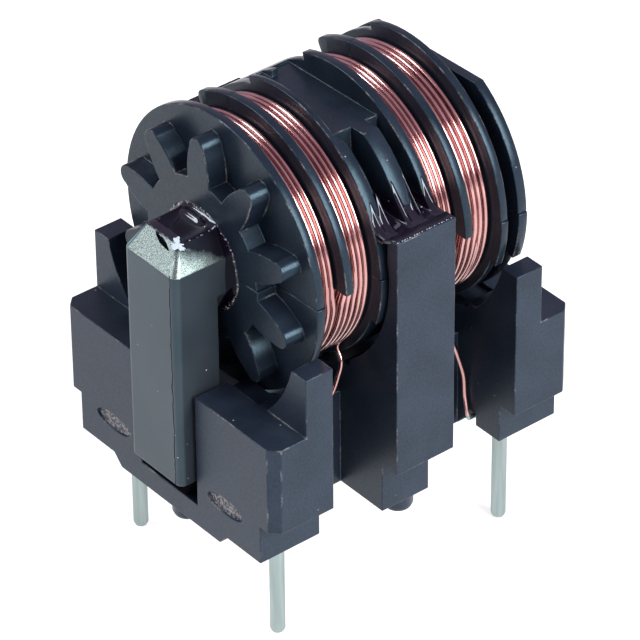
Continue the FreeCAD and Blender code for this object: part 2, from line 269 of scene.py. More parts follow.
# %% Define the material helpers
mix_under, mix_over, mix_result = 6, 7, 2


def new_finish(name, roughness, specular=0.5, metallic=0.0):
    material = bpy.data.materials.new(name)
    material.use_nodes = True
    tree = material.node_tree
    shader = tree.nodes["Principled BSDF"]
    shader.inputs["Roughness"].default_value = roughness
    shader.inputs["Specular IOR Level"].default_value = specular
    shader.inputs["Metallic"].default_value = metallic
    return material, tree, shader


def place_group(tree, group, **values):
    node = tree.nodes.new("ShaderNodeGroup")
    node.node_tree = group
    for label, value in values.items():
        node.inputs[label.replace("_", " ")].default_value = value
    return node


def noise(tree, scale, detail, roughness):
    node = add_node(tree, "ShaderNodeTexNoise", Scale=scale, Detail=detail, Roughness=roughness)
    tree.links.new(object_place(tree), node.inputs["Vector"])
    return node.outputs["Fac"]


def ramp(tree, source, stops):
    node = tree.nodes.new("ShaderNodeValToRGB")
    marks = node.color_ramp.elements
    while len(marks) < len(stops):
        marks.new(0.5)
    for mark, (position, colour) in zip(marks, stops):
        mark.position = position
        mark.color = (*colour, 1)
    tree.links.new(source, node.inputs["Fac"])
    return node.outputs["Color"]


def spread(tree, source, low, high):
    node = add_node(tree, "ShaderNodeMapRange", Value=source, To_Min=low, To_Max=high)
    return node.outputs["Result"]


def blend_colour(tree, mask, under, over):
    node = tree.nodes.new("ShaderNodeMix")
    node.data_type = "RGBA"
    tree.links.new(mask, node.inputs["Factor"])
    fill(tree, node.inputs[mix_under], under)
    fill(tree, node.inputs[mix_over], (*over, 1) if isinstance(over, tuple) else over)
    return node.outputs[mix_result]


def paint(tree, shader, colour, layers):
    for mask, over in layers:
        colour = blend_colour(tree, mask, colour, over)
    tree.links.new(colour, shader.inputs["Base Color"])


def bump(tree, shader, height, strength, depth):
    node = add_node(tree, "ShaderNodeBump", Strength=strength, Distance=depth, Height=height)
    tree.links.new(node.outputs["Normal"], shader.inputs["Normal"])


def face_mask(tree, name):
    node = tree.nodes.new("ShaderNodeAttribute")
    node.attribute_name = name
    return node.outputs["Fac"]


print("material helpers ready")

# %% [markdown]
# ## Black moulded plastic
# The base and the bobbin are glass-filled plastic: nearly black, with a soft, mottled sheen,
# a fine uneven skin and some light dust. Their edges get a painted highlight, a paler grey
# that partly also stands for wear. It reads a face attribute that the bevelling below writes,
# so it follows the real edges, and noise breaks it up. A second attribute marks the rough
# scars where the runners were broken off.

# %% Make the plastic
black = (0.0, 0.0, 0.0)
white = (1.0, 1.0, 1.0)


def plastic_finish(name, deep, pale, roughness, sheen, tint):
    material, tree, shader = new_finish(name, roughness, specular=sheen)
    shader.inputs["Specular Tint"].default_value = (*tint, 1)
    grain = place_group(tree, fine_grain, Scale=9000.0, Patch_Scale=520.0)
    mottle = spread(tree, noise(tree, 9000.0, 3.0, 0.6), 0.35 * sheen, 1.65 * sheen)
    tree.links.new(mottle, shader.inputs["Specular IOR Level"])
    sparks = noise(tree, 1100.0, 4.0, 0.5)
    nicks = noise(tree, 9000.0, 4.0, 0.5)
    specks = place_group(tree, dust_specks, Scale=2300.0, Size=0.085, Share=0.075)
    colour = ramp(tree, grain.outputs["Patches"], [(0.3, deep), (0.7, pale)])
    # Painted highlight along the bevelled edges: a paler grey, broken up by noise, that partly also stands
    # for wear.
    edge_light_and_wear = ramp(tree, sparks, [(0.51, black), (0.64, white)])
    nicked = ramp(tree, nicks, [(0.42, (0.25, 0.25, 0.25)), (0.56, white)])
    edge_light_and_wear = times(tree, edge_light_and_wear, nicked)
    edge_light_and_wear = times(tree, edge_light_and_wear, face_mask(tree, "edge_highlight_and_wear"))
    scar = ramp(tree, nicks, [(0.44, (0.010, 0.010, 0.014)), (0.62, (0.17, 0.155, 0.155))])
    paint(tree, shader, colour, [
        (edge_light_and_wear, (0.085, 0.080, 0.078)),
        (face_mask(tree, "scar"), scar),
        (specks.outputs["Mask"], (0.16, 0.19, 0.20)),
    ])
    rough = spread(tree, grain.outputs["Patches"], roughness - 0.06, roughness + 0.08)
    tree.links.new(rough, shader.inputs["Roughness"])
    bump(tree, shader, grain.outputs["Height"], 0.25, mm(0.01))
    return material


base_colours = ((0.006, 0.009, 0.016), (0.011, 0.016, 0.026))
bobbin_colours = ((0.004, 0.007, 0.012), (0.008, 0.012, 0.019))
bobbin_tint = (0.52, 0.82, 1.0)
base_plastic = plastic_finish("base_plastic", *base_colours, 0.37, 0.34, (0.58, 0.82, 1.0))
bobbin_plastic = plastic_finish("bobbin_plastic", *bobbin_colours, 0.29, 0.27, bobbin_tint)
root_plastic = plastic_finish("wheel_root_plastic", *bobbin_colours, 0.5, 0.13, bobbin_tint)
print("plastics", base_plastic.name, bobbin_plastic.name, root_plastic.name)

# %% [markdown]
# ## Ferrite
# Where the halves of the press tool met, a dark hairline wanders down the ring's front end. The
# upper part of the right bevel is made darker and duller towards the spool, and this fades out
# below a soft, ragged, slanting line. Both are masks, calculated from the place on the ring.

# %% Draw the seam and the darker bevel
bevel_low = 14.32
bevel_rise = 1.18
dark_side = -1.06
dark_slant = 0.45
dark_corner = -6.6
dark_ragged = 0.35
seam_place = -1.43
seam_width = 0.05
seam_sway = 0.22
seam_end = -9.2


def place_parts(tree):
    return add_node(tree, "ShaderNodeSeparateXYZ", Vector=object_place(tree)).outputs


def seam_line(tree):
    x, y, z = place_parts(tree)
    wander = tree.nodes.new("ShaderNodeTexNoise")
    wander.noise_dimensions = "1D"
    wander.inputs["Scale"].default_value = 900.0
    wander.inputs["Detail"].default_value = 5
    tree.links.new(z, wander.inputs["W"])
    across = times(tree, y, 1000.0)
    sway = calculate(tree, "MULTIPLY_ADD", wander.outputs["Fac"], seam_sway, -0.5 * seam_sway)
    offset = calculate(tree, "SUBTRACT", calculate(tree, "SUBTRACT", across, sway), seam_place)
    thick = times(tree, wander.outputs["Fac"], seam_width)
    near = calculate(tree, "LESS_THAN", calculate(tree, "ABSOLUTE", offset), thick)
    front = calculate(tree, "LESS_THAN", times(tree, x, 1000.0), seam_end)
    return times(tree, near, front)


# Darkens and dulls the upper part of the right bevel towards the spool, fading out below a soft, ragged,
# slanting line.
def darker_bevel_mask(tree, pressed):
    x, y, z = place_parts(tree)
    high = calculate(tree, "MULTIPLY_ADD", z, 1000.0 / bevel_rise, -bevel_low / bevel_rise)
    far = calculate(tree, "MULTIPLY_ADD", x, 1000.0 * dark_slant, -dark_slant * dark_corner)
    line = calculate(tree, "ADD", high, far)
    for scale, detail, roughness in ((5000.0, 3.0, 0.6), (1500.0, 4.0, 0.5)):
        wander = noise(tree, scale, detail, roughness)
        line = calculate(tree, "MULTIPLY_ADD", wander, dark_ragged, line)
    beyond = calculate(tree, "MULTIPLY_ADD", line, 1.4, 0.3)
    on_right = calculate(tree, "LESS_THAN", y, mm(dark_side))
    held = calculate(tree, "MINIMUM", calculate(tree, "MAXIMUM", beyond, 0.0), 1.0)
    return times(tree, held, times(tree, on_right, pressed))


# The darker part of the right bevel starts this high.
print("seam at", seam_place, "mm, darker bevel from", bevel_low, "mm up")

# %% [markdown]
# Sintered ferrite is a dark grey ceramic with a satin skin. Its bevels are as the press left
# them: paler, and full of tiny bright grains that mirror the light. They carry a face attribute
# of their own, and so does the ring's foot, which gets painted shade where it sits in the base's slot: near
# black, with no sheen.

# %% Make the ferrite


def ferrite_finish():
    material, tree, shader = new_finish("satin_ferrite", 0.40, specular=0.45)
    shader.inputs["Specular Tint"].default_value = (0.46, 0.84, 1.0, 1)
    grain = place_group(tree, fine_grain, Scale=26000.0, Patch_Scale=350.0)
    skin_stops = [(0.3, (0.014, 0.018, 0.023)), (0.7, (0.023, 0.028, 0.033))]
    grain_stops = [(0.40, (0.04, 0.054, 0.052)), (0.60, (0.255, 0.315, 0.295))]
    skin = ramp(tree, grain.outputs["Patches"], skin_stops)
    specks = place_group(tree, dust_specks, Scale=2600.0, Size=0.08, Share=0.05)
    pressed = face_mask(tree, "pressed")
    # The foot is painted shade: near black, where it sits in the base's slot.
    painted_shade_foot = face_mask(tree, "painted_shade_foot")
    seam = seam_line(tree)
    # The upper right bevel is made darker and duller towards the spool.
    film = darker_bevel_mask(tree, pressed)
    paint(tree, shader, skin, [
        (pressed, ramp(tree, grain.outputs["Height"], grain_stops)),
        (specks.outputs["Mask"], (0.30, 0.33, 0.33)),
        (seam, (0.004, 0.005, 0.006)),
        (painted_shade_foot, (0.003, 0.003, 0.004)),
        (film, (0.004, 0.003, 0.006)),
    ])
    rough = spread(tree, pressed, 0.34, 0.30)
    tree.links.new(rough, shader.inputs["Roughness"])
    bare = times(tree, calculate(tree, "SUBTRACT", 1.0, film), pressed)
    tree.links.new(times(tree, bare, 0.85), shader.inputs["Metallic"])
    # The foot's painted shade also takes its sheen away, as do the seam and the darker bevel.
    dull = calculate(tree, "MAXIMUM", painted_shade_foot, seam)
    dull = calculate(tree, "MAXIMUM", dull, times(tree, film, 0.9))
    sheen = spread(tree, dull, 0.45, 0.0)
    tree.links.new(sheen, shader.inputs["Specular IOR Level"])
    bump(tree, shader, grain.outputs["Height"], 0.55, mm(0.014))
    return material


ferrite = ferrite_finish()
print("ferrite", ferrite.name)

# %% [markdown]
# ## Copper, tin, solder and glue
# The wire is copper under a clear enamel, so it is a metal with a clear coat. The pins are
# tinned, drawn metal, dull with fine lines along their length. The glue is cured resin, black
# and very glossy. Its face attributes mark a drop painted pale as a highlight, crumbs on its
# rim, and most of a leaf-shaped drop, painted near black and without sheen as shade.

# %% Make the metals and the glue


def copper_finish():
    material, tree, shader = new_finish("enamelled_copper", 0.17, metallic=1.0)
    shader.inputs["Coat Weight"].default_value = 1.0
    shader.inputs["Coat Roughness"].default_value = 0.10
    grain = place_group(tree, fine_grain, Scale=5000.0, Patch_Scale=900.0)
    stops = [(0.3, (0.43, 0.205, 0.195)), (0.7, (0.575, 0.305, 0.285))]
    colour = ramp(tree, grain.outputs["Patches"], stops)
    tree.links.new(colour, shader.inputs["Base Color"])
    bump(tree, shader, grain.outputs["Height"], 0.04, mm(0.003))
    return material


def tin_finish(name, deep, pale, roughness):
    material, tree, shader = new_finish(name, roughness, metallic=1.0)
    stretch = add_node(
        tree, "ShaderNodeMapping", Vector=object_place(tree), Scale=(4000.0, 4000.0, 260.0),
    )
    streaks = add_node(tree, "ShaderNodeTexNoise", Vector=stretch.outputs["Vector"], Scale=1.0)
    colour = ramp(tree, streaks.outputs["Fac"], [(0.3, deep), (0.7, pale)])
    tree.links.new(colour, shader.inputs["Base Color"])
    rough = spread(tree, streaks.outputs["Fac"], roughness - 0.08, roughness + 0.1)
    tree.links.new(rough, shader.inputs["Roughness"])
    bump(tree, shader, streaks.outputs["Fac"], 0.12, mm(0.006))
    return material


def glue_finish():
    material, tree, shader = new_finish("cured_glue", 0.07, specular=0.5)
    shader.inputs["Specular Tint"].default_value = (0.80, 0.92, 1.0, 1)
    grain = place_group(tree, fine_grain, Scale=1600.0, Patch_Scale=700.0)
    specks = place_group(tree, dust_specks, Scale=2200.0, Size=0.09, Share=0.06)
    stops = [(0.3, (0.002, 0.001, 0.004)), (0.7, (0.006, 0.004, 0.009))]
    crumb = ramp(tree, noise(tree, 7000.0, 4.0, 0.5), [(0.56, black), (0.60, white)])
    paint(tree, shader, ramp(tree, grain.outputs["Patches"], stops), [
        (specks.outputs["Mask"], (0.26, 0.27, 0.28)),
        # Painted highlight: the splash is pale grey-blue.
        (face_mask(tree, "splash_painted_highlight"), (0.30, 0.36, 0.39)),
        (times(tree, crumb, face_mask(tree, "rim")), (0.22, 0.21, 0.21)),
        # Painted shade: most of the leaf is near black.
        (face_mask(tree, "leaf_painted_shade"), (0.002, 0.002, 0.003)),
    ])
    # The leaf's painted shade also has no sheen.
    shine = spread(tree, face_mask(tree, "leaf_painted_shade"), 0.5, 0.0)
    tree.links.new(shine, shader.inputs["Specular IOR Level"])
    bump(tree, shader, grain.outputs["Height"], 0.05, mm(0.02))
    return material


copper = copper_finish()
tinned = tin_finish("tinned_wire", (0.25, 0.31, 0.30), (0.34, 0.41, 0.40), 0.42)
solder_metal = tin_finish("bright_solder", (0.34, 0.37, 0.38), (0.50, 0.53, 0.54), 0.26)
glue = glue_finish()
print("metals and glue ready")

# %% [markdown]
# ## Rounded edges
# No moulded or pressed edge is sharp, and the thin light lines along the edges are much of
# what the eye reads. So a solid's triangles are merged into whole faces, and the edges that
# turn by more than 30 degrees get a narrow bevel, marked in an attribute that the plastic
# reads for its painted edge highlight. A bevel can shoot out of the solid where short edges
# meet. So each new corner is measured against the solid's skin, and where one has left it, the edges there
# stay sharp.

# %% Define how edges are rounded
tries = 6
edge_width = 0.05
edge_segments = 2
merge_distance = 0.0008
flat_degrees = 0.6
stray_reach = 1.3
root_reach = 3


def merged_form(node_name):
    form = bmesh.new()
    form.from_mesh(cad_nodes[node_name].data)
    bmesh.ops.remove_doubles(form, verts=form.verts, dist=mm(merge_distance))
    bmesh.ops.dissolve_limit(
        form, angle_limit=math.radians(flat_degrees), verts=form.verts, edges=form.edges, delimit=set(),
    )
    return form


def turn_outward(form):
    bmesh.ops.recalc_face_normals(form, faces=form.faces)


def stray_roots(made, skin, corners):
    far = stray_reach * mm(edge_width)
    strays = {vert for vert in made["verts"] if skin.find_nearest(vert.co)[3] > far}
    roots = set()
    for stray in strays:
        around = {vert for face in stray.link_faces for vert in face.verts} - strays
        for vert in around or {stray}:
            place, index, distance = corners.find(vert.co)
            if distance < root_reach * mm(edge_width) or not around:
                roots.add(index)
    return strays, roots


def round_edges(form, least_turn=30.0):
    skin = BVHTree.FromBMesh(form)
    form.verts.ensure_lookup_table()
    corners = KDTree(len(form.verts))
    for vert in form.verts:
        corners.insert(vert.co, vert.index)
    corners.balance()
    left_sharp = set()
    for attempt in range(tries):
        trial = form.copy()
        # The bevel faces carry the mask of the painted edge highlight, which partly also stands for wear.
        marks = trial.faces.layers.float.new("edge_highlight_and_wear")
        sharp = [
            edge for edge in trial.edges
            if edge.is_manifold and edge.calc_face_angle() > math.radians(least_turn)
            and not left_sharp & {vert.index for vert in edge.verts}
        ]
        made = bmesh.ops.bevel(
            trial, geom=sharp, offset=mm(edge_width), offset_type="OFFSET", affect="EDGES",
            segments=edge_segments, profile=0.5, material=-1, clamp_overlap=False,
        )
        for face in made["faces"]:
            face[marks] = 1.0
        strays, roots = stray_roots(made, skin, corners)
        if not strays:
            break
        left_sharp |= roots
        if attempt < tries - 1:
            trial.free()
    form.free()
    print("  edges rounded", len(sharp), "corners left sharp", len(left_sharp))
    return trial


print("edges get a bevel", edge_width, "mm wide")

# %% [markdown]
# ## A finished piece
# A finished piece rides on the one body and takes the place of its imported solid. Bevelled
# pieces get normals weighted by area, so that large faces stay even up to their bevels.

# %% Define how a piece is finished


def finished(name, form, material, replaced):
    for face in form.faces:
        face.smooth = True
    piece = piece_of(name, form)
    piece.data.materials.append(material)
    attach(piece, "root")
    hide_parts(*replaced)
    return piece


def shade_evenly(piece):
    even = piece.modifiers.new("even_shading", "WEIGHTED_NORMAL")
    even.keep_sharp = True
    print(piece.name, "faces", len(piece.data.polygons))


def mark_faces(form, label, chosen):
    marks = form.faces.layers.float.new(label)
    for face in form.faces:
        face[marks] = 1.0 if chosen(face) else 0.0


print("finishing helpers ready")

# %% [markdown]
# ## The spool
# The thin separators between the groups of turns go a little further round than the solids'
# own, so each half gets its separators' last part here, with a rounded tip. The narrow floors
# between the wheel's teeth keep the mould's rougher skin, so they get the duller plastic.

# %% Round the spool's two halves
axis_height = 13.425
spool_turn = math.radians(2.0)
half_step = 0.05
hub_radius = 3.6
rim_radius = 6.654
tip_round = 0.3
separator_end = 119.8
separator_degrees = (98, 101, 104, 107, 110, 113, 115, 116.5, 117.5, 118.3, 119, 119.5, 119.8)
separators = [(-3.794, -3.346), (2.876, 3.324)]
wheel_x = -5.3
wheel_root_radius = 4.0
floor_slope = 0.3


def seat_point(x, radius, degrees, half):
    angle = math.radians(degrees)
    local = Vector((x, -radius * math.cos(angle), radius * math.sin(angle)))
    if half == "lower":
        local = Vector((x, -local.y - half_step, -local.z))
    place = Matrix.Rotation(-spool_turn, 3, "X") @ local
    return place + Vector((0, 0, axis_height))


def add_separator_end(form, wall, half):
    sections = []
    for degrees in separator_degrees:
        left = math.radians(separator_end - degrees) * rim_radius
        inset = max(0.0, tip_round - left)
        top = rim_radius - tip_round + math.sqrt(tip_round ** 2 - inset ** 2)
        corners = [(wall[0], hub_radius), (wall[1], hub_radius), (wall[1], top), (wall[0], top)]
        points = [seat_point(x, radius, degrees, half) for x, radius in corners]
        sections.append([form.verts.new(point * 0.001) for point in points])
    for near, far in zip(sections, sections[1:]):
        for i in range(4):
            k = (i + 1) % 4
            form.faces.new((near[i], near[k], far[k], far[i]))
    form.faces.new(sections[0][::-1])
    form.faces.new(sections[-1])


def rounded_spool(name, node_name, half):
    form = merged_form(node_name)
    for wall in separators:
        add_separator_end(form, wall, half)
    turn_outward(form)
    form = round_edges(form)
    for face in form.faces:
        middle = face.calc_center_median()
        radius = math.hypot(middle.y, middle.z - mm(axis_height))
        at_root = middle.x < mm(wheel_x) and radius < mm(wheel_root_radius)
        if at_root and abs(face.normal.x) < floor_slope:
            face.material_index = 1
    piece = finished(name, form, bobbin_plastic, [node_name])
    piece.data.materials.append(root_plastic)
    shade_evenly(piece)


rounded_spool("spool_upper", "bobbin_upper", "upper")
rounded_spool("spool_lower", "bobbin_lower", "lower")

# %% [markdown]
# ## The base and its scars
# The base is rounded like the spool. Where its runners were broken off, its front end has two
# oval scars with a rough, sparkling ground.

# %% Round the base and mark its scars
scar_half = (1.2, 0.42)
scar_places = [(4.0, 3.2), (-4.0, 3.2)]
scar_floor = (-8.46, -8.36)
scar_share = 0.9


def on_scar(face):
    place = face.calc_center_median() * 1000
    if not scar_floor[0] < place.x < scar_floor[1]:
        return False
    reaches = [
        ((place.y - y) / scar_half[0]) ** 2 + ((place.z - z) / scar_half[1]) ** 2
        for y, z in scar_places
    ]
    return min(reaches) < scar_share


base_form = round_edges(merged_form("base"))
mark_faces(base_form, "scar", on_scar)
shade_evenly(finished("moulded_base", base_form, base_plastic, ["base"]))

# %% [markdown]
# ## The ferrite ring
# The ring is drawn again from four level outlines with round corners: its narrow foot, the
# two edges of its upright sides and its narrow top. A window is then cut through it. The
# upright corners are rounder than the solid's, as on the real ring.

# %% Draw the ferrite ring
ring_half = (9.25, 1.8)
ring_low = 2.1
ring_high = 15.5
ring_rise = 1.18
ring_run = (0.79, 0.69)
ring_leg = 2.3
ring_bar = 4.15
corner_radius = 0.35
top_corner_radius = 0.1
corner_steps = 6
window_overlap = 0.5


def settled(piece):
    bpy.context.view_layer.update()
    graph = bpy.context.evaluated_depsgraph_get()
    mesh = bpy.data.meshes.new_from_object(piece.evaluated_get(graph))
    bpy.data.objects.remove(piece)
    return mesh


def plan_loop(form, half_x, half_y, radius, height):
    loop = []
    for quarter, (side_x, side_y) in enumerate([(1, 1), (-1, 1), (-1, -1), (1, -1)]):
        for step in range(corner_steps + 1):
            angle = math.radians(90 * (quarter + step / corner_steps))
            x = side_x * (half_x - radius) + radius * math.cos(angle)
            y = side_y * (half_y - radius) + radius * math.sin(angle)
            loop.append(form.verts.new(Vector((x, y, height)) * 0.001))
    return loop


def ring_hull():
    form = bmesh.new()
    narrow = (ring_half[0] - ring_run[0], ring_half[1] - ring_run[1], top_corner_radius)
    wide = (*ring_half, corner_radius)
    levels = [
        (narrow, ring_low), (wide, ring_low + ring_rise),
        (wide, ring_high - ring_rise), (narrow, ring_high),
    ]
    loops = [plan_loop(form, *plan, height) for plan, height in levels]
    for below, above in zip(loops, loops[1:]):
        count = len(below)
        for i in range(count):
            form.faces.new((below[i], below[(i + 1) % count], above[(i + 1) % count], above[i]))
    form.faces.new(loops[0][::-1])
    form.faces.new(loops[-1])
    return form


print("ring", 2 * ring_half[0], "mm long,", ring_high, "mm high")

# %% [markdown]
# The window's upright sides are flat, and its level edges slope like the ring's own. The
# pressed bevels along the top are marked for the ferrite, and so is the foot, for its painted shade.

# %% Cut the window and mark the ring
mark_margin = 0.1
bevel_slopes = (0.35, 0.75)
ring_least_turn = 28.0


def window_form():
    form = bmesh.new()
    half_x = ring_half[0] - ring_leg
    low = ring_low + ring_bar
    high = ring_high - ring_bar
    near_y = ring_half[1] - ring_run[1]
    wide_y = ring_half[1] + window_overlap
    flare = ring_rise * (wide_y - near_y) / ring_run[1]
    outline = [
        (-near_y, low), (near_y, low), (wide_y, low - flare), (wide_y, high + flare),
        (near_y, high), (-near_y, high), (-wide_y, high + flare), (-wide_y, low - flare),
    ]
    side = form.faces.new([form.verts.new(Vector((-half_x, y, z)) * 0.001) for y, z in outline])
    made = bmesh.ops.extrude_face_region(form, geom=[side])
    moved = [item for item in made["geom"] if isinstance(item, bmesh.types.BMVert)]
    bmesh.ops.translate(form, vec=(mm(2 * half_x), 0, 0), verts=moved)
    turn_outward(form)
    return form


def ring_form():
    hull = piece_of("hull", ring_hull())
    window = piece_of("window", window_form())
    cut = hull.modifiers.new("window", "BOOLEAN")
    cut.operation = "DIFFERENCE"
    cut.solver = "EXACT"
    cut.object = window
    form = bmesh.new()
    form.from_mesh(settled(hull))
    bpy.data.objects.remove(window)
    return form


def on_pressed_bevel(face):
    place = face.calc_center_median() * 1000
    slopes = bevel_slopes[0] < abs(face.normal.z) < bevel_slopes[1]
    return place.z > ring_high - ring_rise - mark_margin and slopes


# The foot's faces get painted shade.
def on_foot(face):
    return face.calc_center_median().z * 1000 < ring_low + ring_rise - mark_margin


core_form = round_edges(ring_form(), least_turn=ring_least_turn)
mark_faces(core_form, "pressed", on_pressed_bevel)
# The foot is marked for its painted shade.
mark_faces(core_form, "painted_shade_foot", on_foot)
shade_evenly(finished("ferrite_ring", core_form, ferrite, ["core"]))

# %% [markdown]
# ## The windings
# Each winding is one long wire, laid turn beside turn. Between the flanges the separators
# hold the turns in two tight groups, and where the separators end the turns spread out.
# A turn is drawn as a closed curve round the spool's axis, with a small wander, and the
# curve's own bevel gives it its round section.

# %% Define the path of a turn
wire_radius = 0.142
outer_radius = 5.97
steps_per_turn = 120
spread_from, spread_over = 121.0, 12.0
spread_until, spread_back = 178.0, 9.0
drift_size = 0.009
wander = random.Random(7)


def on_spool(x, radius, angle):
    turned = angle + spool_turn
    return Vector((x, -radius * math.cos(turned), axis_height + radius * math.sin(turned)))


def ease(value):
    value = min(1.0, max(0.0, value))
    return value * value * (3 - 2 * value)


def spread_share(degrees):
    part = degrees % 180.0
    opening = ease((part - spread_from) / spread_over)
    closing = ease((spread_until - part) / spread_back)
    return opening * closing


def turn_points(tight_x, loose_x, radius, drift):
    points = []
    for step in range(steps_per_turn):
        degrees = 360.0 * step / steps_per_turn
        x = between(tight_x, loose_x, spread_share(degrees))
        angle = math.radians(degrees)
        sway = sum(size * math.sin(angle * waves + start) for size, waves, start in drift)
        points.append(on_spool(x + sway, radius + 0.5 * sway, angle))
    return points


def add_spline(curve, points, closed=True):
    line = curve.splines.new("POLY")
    line.points.add(len(points) - 1)
    for target, point in zip(line.points, points):
        target.co = (*(point * 0.001), 1)
    line.use_cyclic_u = closed


def new_drift():
    drift = []
    for waves in (1, 2, 3, 5):
        size = drift_size * wander.uniform(-1, 1) / waves
        drift.append((size, waves, wander.uniform(0, 6.28)))
    return drift


def new_wire(name, radius, resolution):
    curve = bpy.data.curves.new(name, "CURVE")
    curve.dimensions = "3D"
    curve.bevel_depth = mm(radius)
    curve.bevel_resolution = resolution
    return curve


def curve_mesh(curve):
    helper = bpy.data.objects.new("helper", curve)
    scene.collection.objects.link(helper)
    return settled(helper)


print("a turn has", steps_per_turn, "points")

# %% [markdown]
# In a tight group the turns nearly touch, and the second layer lies in the furrows of the
# first. Where they spread, each goes three quarters of the way to an even share of the room.
# A plain drum under the two layers stands for the turns below, which nothing shows.

# %% Wind the wire
group_gap = 0.02
spread_gap = 0.03
turn_spacing = 2.03
layer_radii = (outer_radius - wire_radius, outer_radius - 2.75 * wire_radius)
layer_shifts = (0.5, 0.75)
spread_part = 0.75
drum_inset = 3.6
drum_sides = 96
join_distance = 0.0005


def tight_places(low, high, layer):
    room = high - low - 2 * group_gap
    count = int(round(room / (turn_spacing * wire_radius)))
    pitch = room / count
    shift = layer_shifts[layer]
    return [low + group_gap + pitch * (i + shift) for i in range(count - layer)]


def wind(name, walls):
    flange_x, separator, far_x = walls
    curve = new_wire(name, wire_radius, 3)
    for layer, radius in enumerate(layer_radii):
        tight = tight_places(flange_x, separator[0], layer)
        tight += tight_places(separator[1], far_x, layer)
        pitch = (far_x - flange_x - 2 * spread_gap) / len(tight)
        for i, tight_x in enumerate(tight):
            loose_x = flange_x + spread_gap + pitch * (i + 0.5)
            near_x = between(tight_x, loose_x, spread_part)
            add_spline(curve, turn_points(tight_x, near_x, radius, new_drift()))
    return curve


def add_drum(form, low, high, radius):
    rim = [form.verts.new(on_spool(x, radius, 0) * 0.001) for x in (low, high)]
    edge = form.edges.new(rim)
    bmesh.ops.spin(
        form, geom=[edge, *rim], cent=(0, 0, mm(axis_height)), axis=(1, 0, 0), angle=math.tau,
        steps=drum_sides, use_merge=True,
    )


windings = [
    ("front_winding", (-4.95, (-3.79, -3.35), -1.9), "winding_front"),
    ("rear_winding", (1.53, (2.88, 3.32), 4.9), "winding_rear"),
]
coils = []
for name, walls, node_name in windings:
    form = bmesh.new()
    form.from_mesh(curve_mesh(wind(name, walls)))
    add_drum(form, walls[0], walls[2], outer_radius - drum_inset * wire_radius)
    bmesh.ops.remove_doubles(form, verts=form.verts, dist=mm(join_distance))
    coils.append((name, node_name, form))
    print(name, "faces", len(form.faces))

# %% [markdown]
# ## The leads
# Each winding starts and ends at the bottom of its drum. A lead has no regular form, so its
# bends are listed one by one, from the drum down to the base.

# %% Set the leads' bends
front_right_bends = [
    (-2.12, 3.95, 8.9), (-2.14, 4.24, 8.2), (-2.38, 4.30, 7.5),
    (-2.90, 4.34, 6.6), (-4.70, 4.44, 4.4), (-5.02, 4.50, 3.0),
]
front_left_bends = [(-4.45, 3.95, 8.9), (-4.48, 4.20, 8.0), (-4.80, 4.42, 5.5), (-5.02, 4.50, 3.4)]
rear_right_bends = [
    (4.30, 3.95, 8.9), (4.12, 4.16, 7.6), (4.22, 4.20, 6.5),
    (4.56, 4.20, 5.5), (4.98, 4.20, 4.1), (5.06, 4.22, 2.9),
]
rear_left_bends = [(2.03, 3.95, 8.9), (2.10, 4.22, 8.0), (3.40, 4.40, 5.6), (4.90, 4.46, 3.8)]
leads = {
    "front_winding": [(-1, -1, front_right_bends), (-1, 1, front_left_bends)],
    "rear_winding": [(1, -1, rear_right_bends), (1, 1, rear_left_bends)],
}
print("leads", sum(len(pair) for pair in leads.values()))

# %% [markdown]
# A smooth curve is drawn through the bends. Under the base the lead runs to its pin and is
# wrapped round the pin's root, where the solder holds it. Its last millimetres are stripped
# of enamel and tinned.

# %% Lead the wires to the pins
pin_place = (6.5, 5.0)
wrap_radius = 0.5
wrap_height = 1.8
wrap_pitch = 0.3
wrap_points = 15
steps_round = 12
lead_in = (5.03, 5.30)
lead_drop = 0.15
drum_degrees = (-10, -24, -38)
tinned_below = 2.05
lead_wire_radius = 0.115


def lead_points(end_sign, side_sign, bends):
    start_x = bends[0][0]
    route = []
    for degrees in drum_degrees:
        start = on_spool(start_x, outer_radius - wire_radius, math.radians(degrees) - spool_turn)
        route.append(Vector((start.x, abs(start.y) * side_sign, start.z)))
    route += [Vector((x, y * side_sign, z)) for x, y, z in bends]
    lead_y = (pin_place[1] - wrap_radius) * side_sign
    route.append(Vector((lead_in[0] * end_sign, lead_y, wrap_height + lead_drop)))
    route.append(Vector((lead_in[1] * end_sign, lead_y, wrap_height)))
    for step in range(wrap_points):
        turn = math.radians(360 * step / steps_round)
        x = pin_place[0] + wrap_radius * math.sin(turn)
        y = pin_place[1] - wrap_radius * math.cos(turn)
        z = wrap_height + wrap_pitch * step / steps_round
        route.append(Vector((x * end_sign, y * side_sign, z)))
    return route


def smooth_route(route, pieces=8):
    line = [2 * route[0] - route[1], *route, 2 * route[-1] - route[-2]]
    points = []
    for before, start, end, after in zip(line, line[1:], line[2:], line[3:]):
        for step in range(pieces):
            t = step / pieces
            points.append(0.5 * (
                2 * start + (end - before) * t + (2 * before - 5 * start + 4 * end - after) * t * t
                + (3 * start - before - 3 * end + after) * t * t * t
            ))
    return points + [route[-1]]


for name, node_name, form in coils:
    curve = new_wire(name, lead_wire_radius, 4)
    curve.use_fill_caps = True
    for lead in leads[name]:
        add_spline(curve, smooth_route(lead_points(*lead)), closed=False)
    form.from_mesh(curve_mesh(curve))
    turn_outward(form)
    for face in form.faces:
        if face.calc_center_median().z < mm(tinned_below):
            face.material_index = 1
    piece = finished(name, form, copper, [node_name])
    piece.data.materials.append(tinned)
    print(name, "with its leads, faces", len(piece.data.polygons))

# %% [markdown]
# ## The glue
# The glue set as it flowed: a smooth skin with soft swells, thin runs and a ragged rim. So
# each bead is a closed sheet of two nets of points. The front net follows a formula of swells
# and ridges, and the back net lies inside the pieces that the glue holds. A sheet is given as
# rows of pairs, a front point with its back point, and whether the last row joins the first.

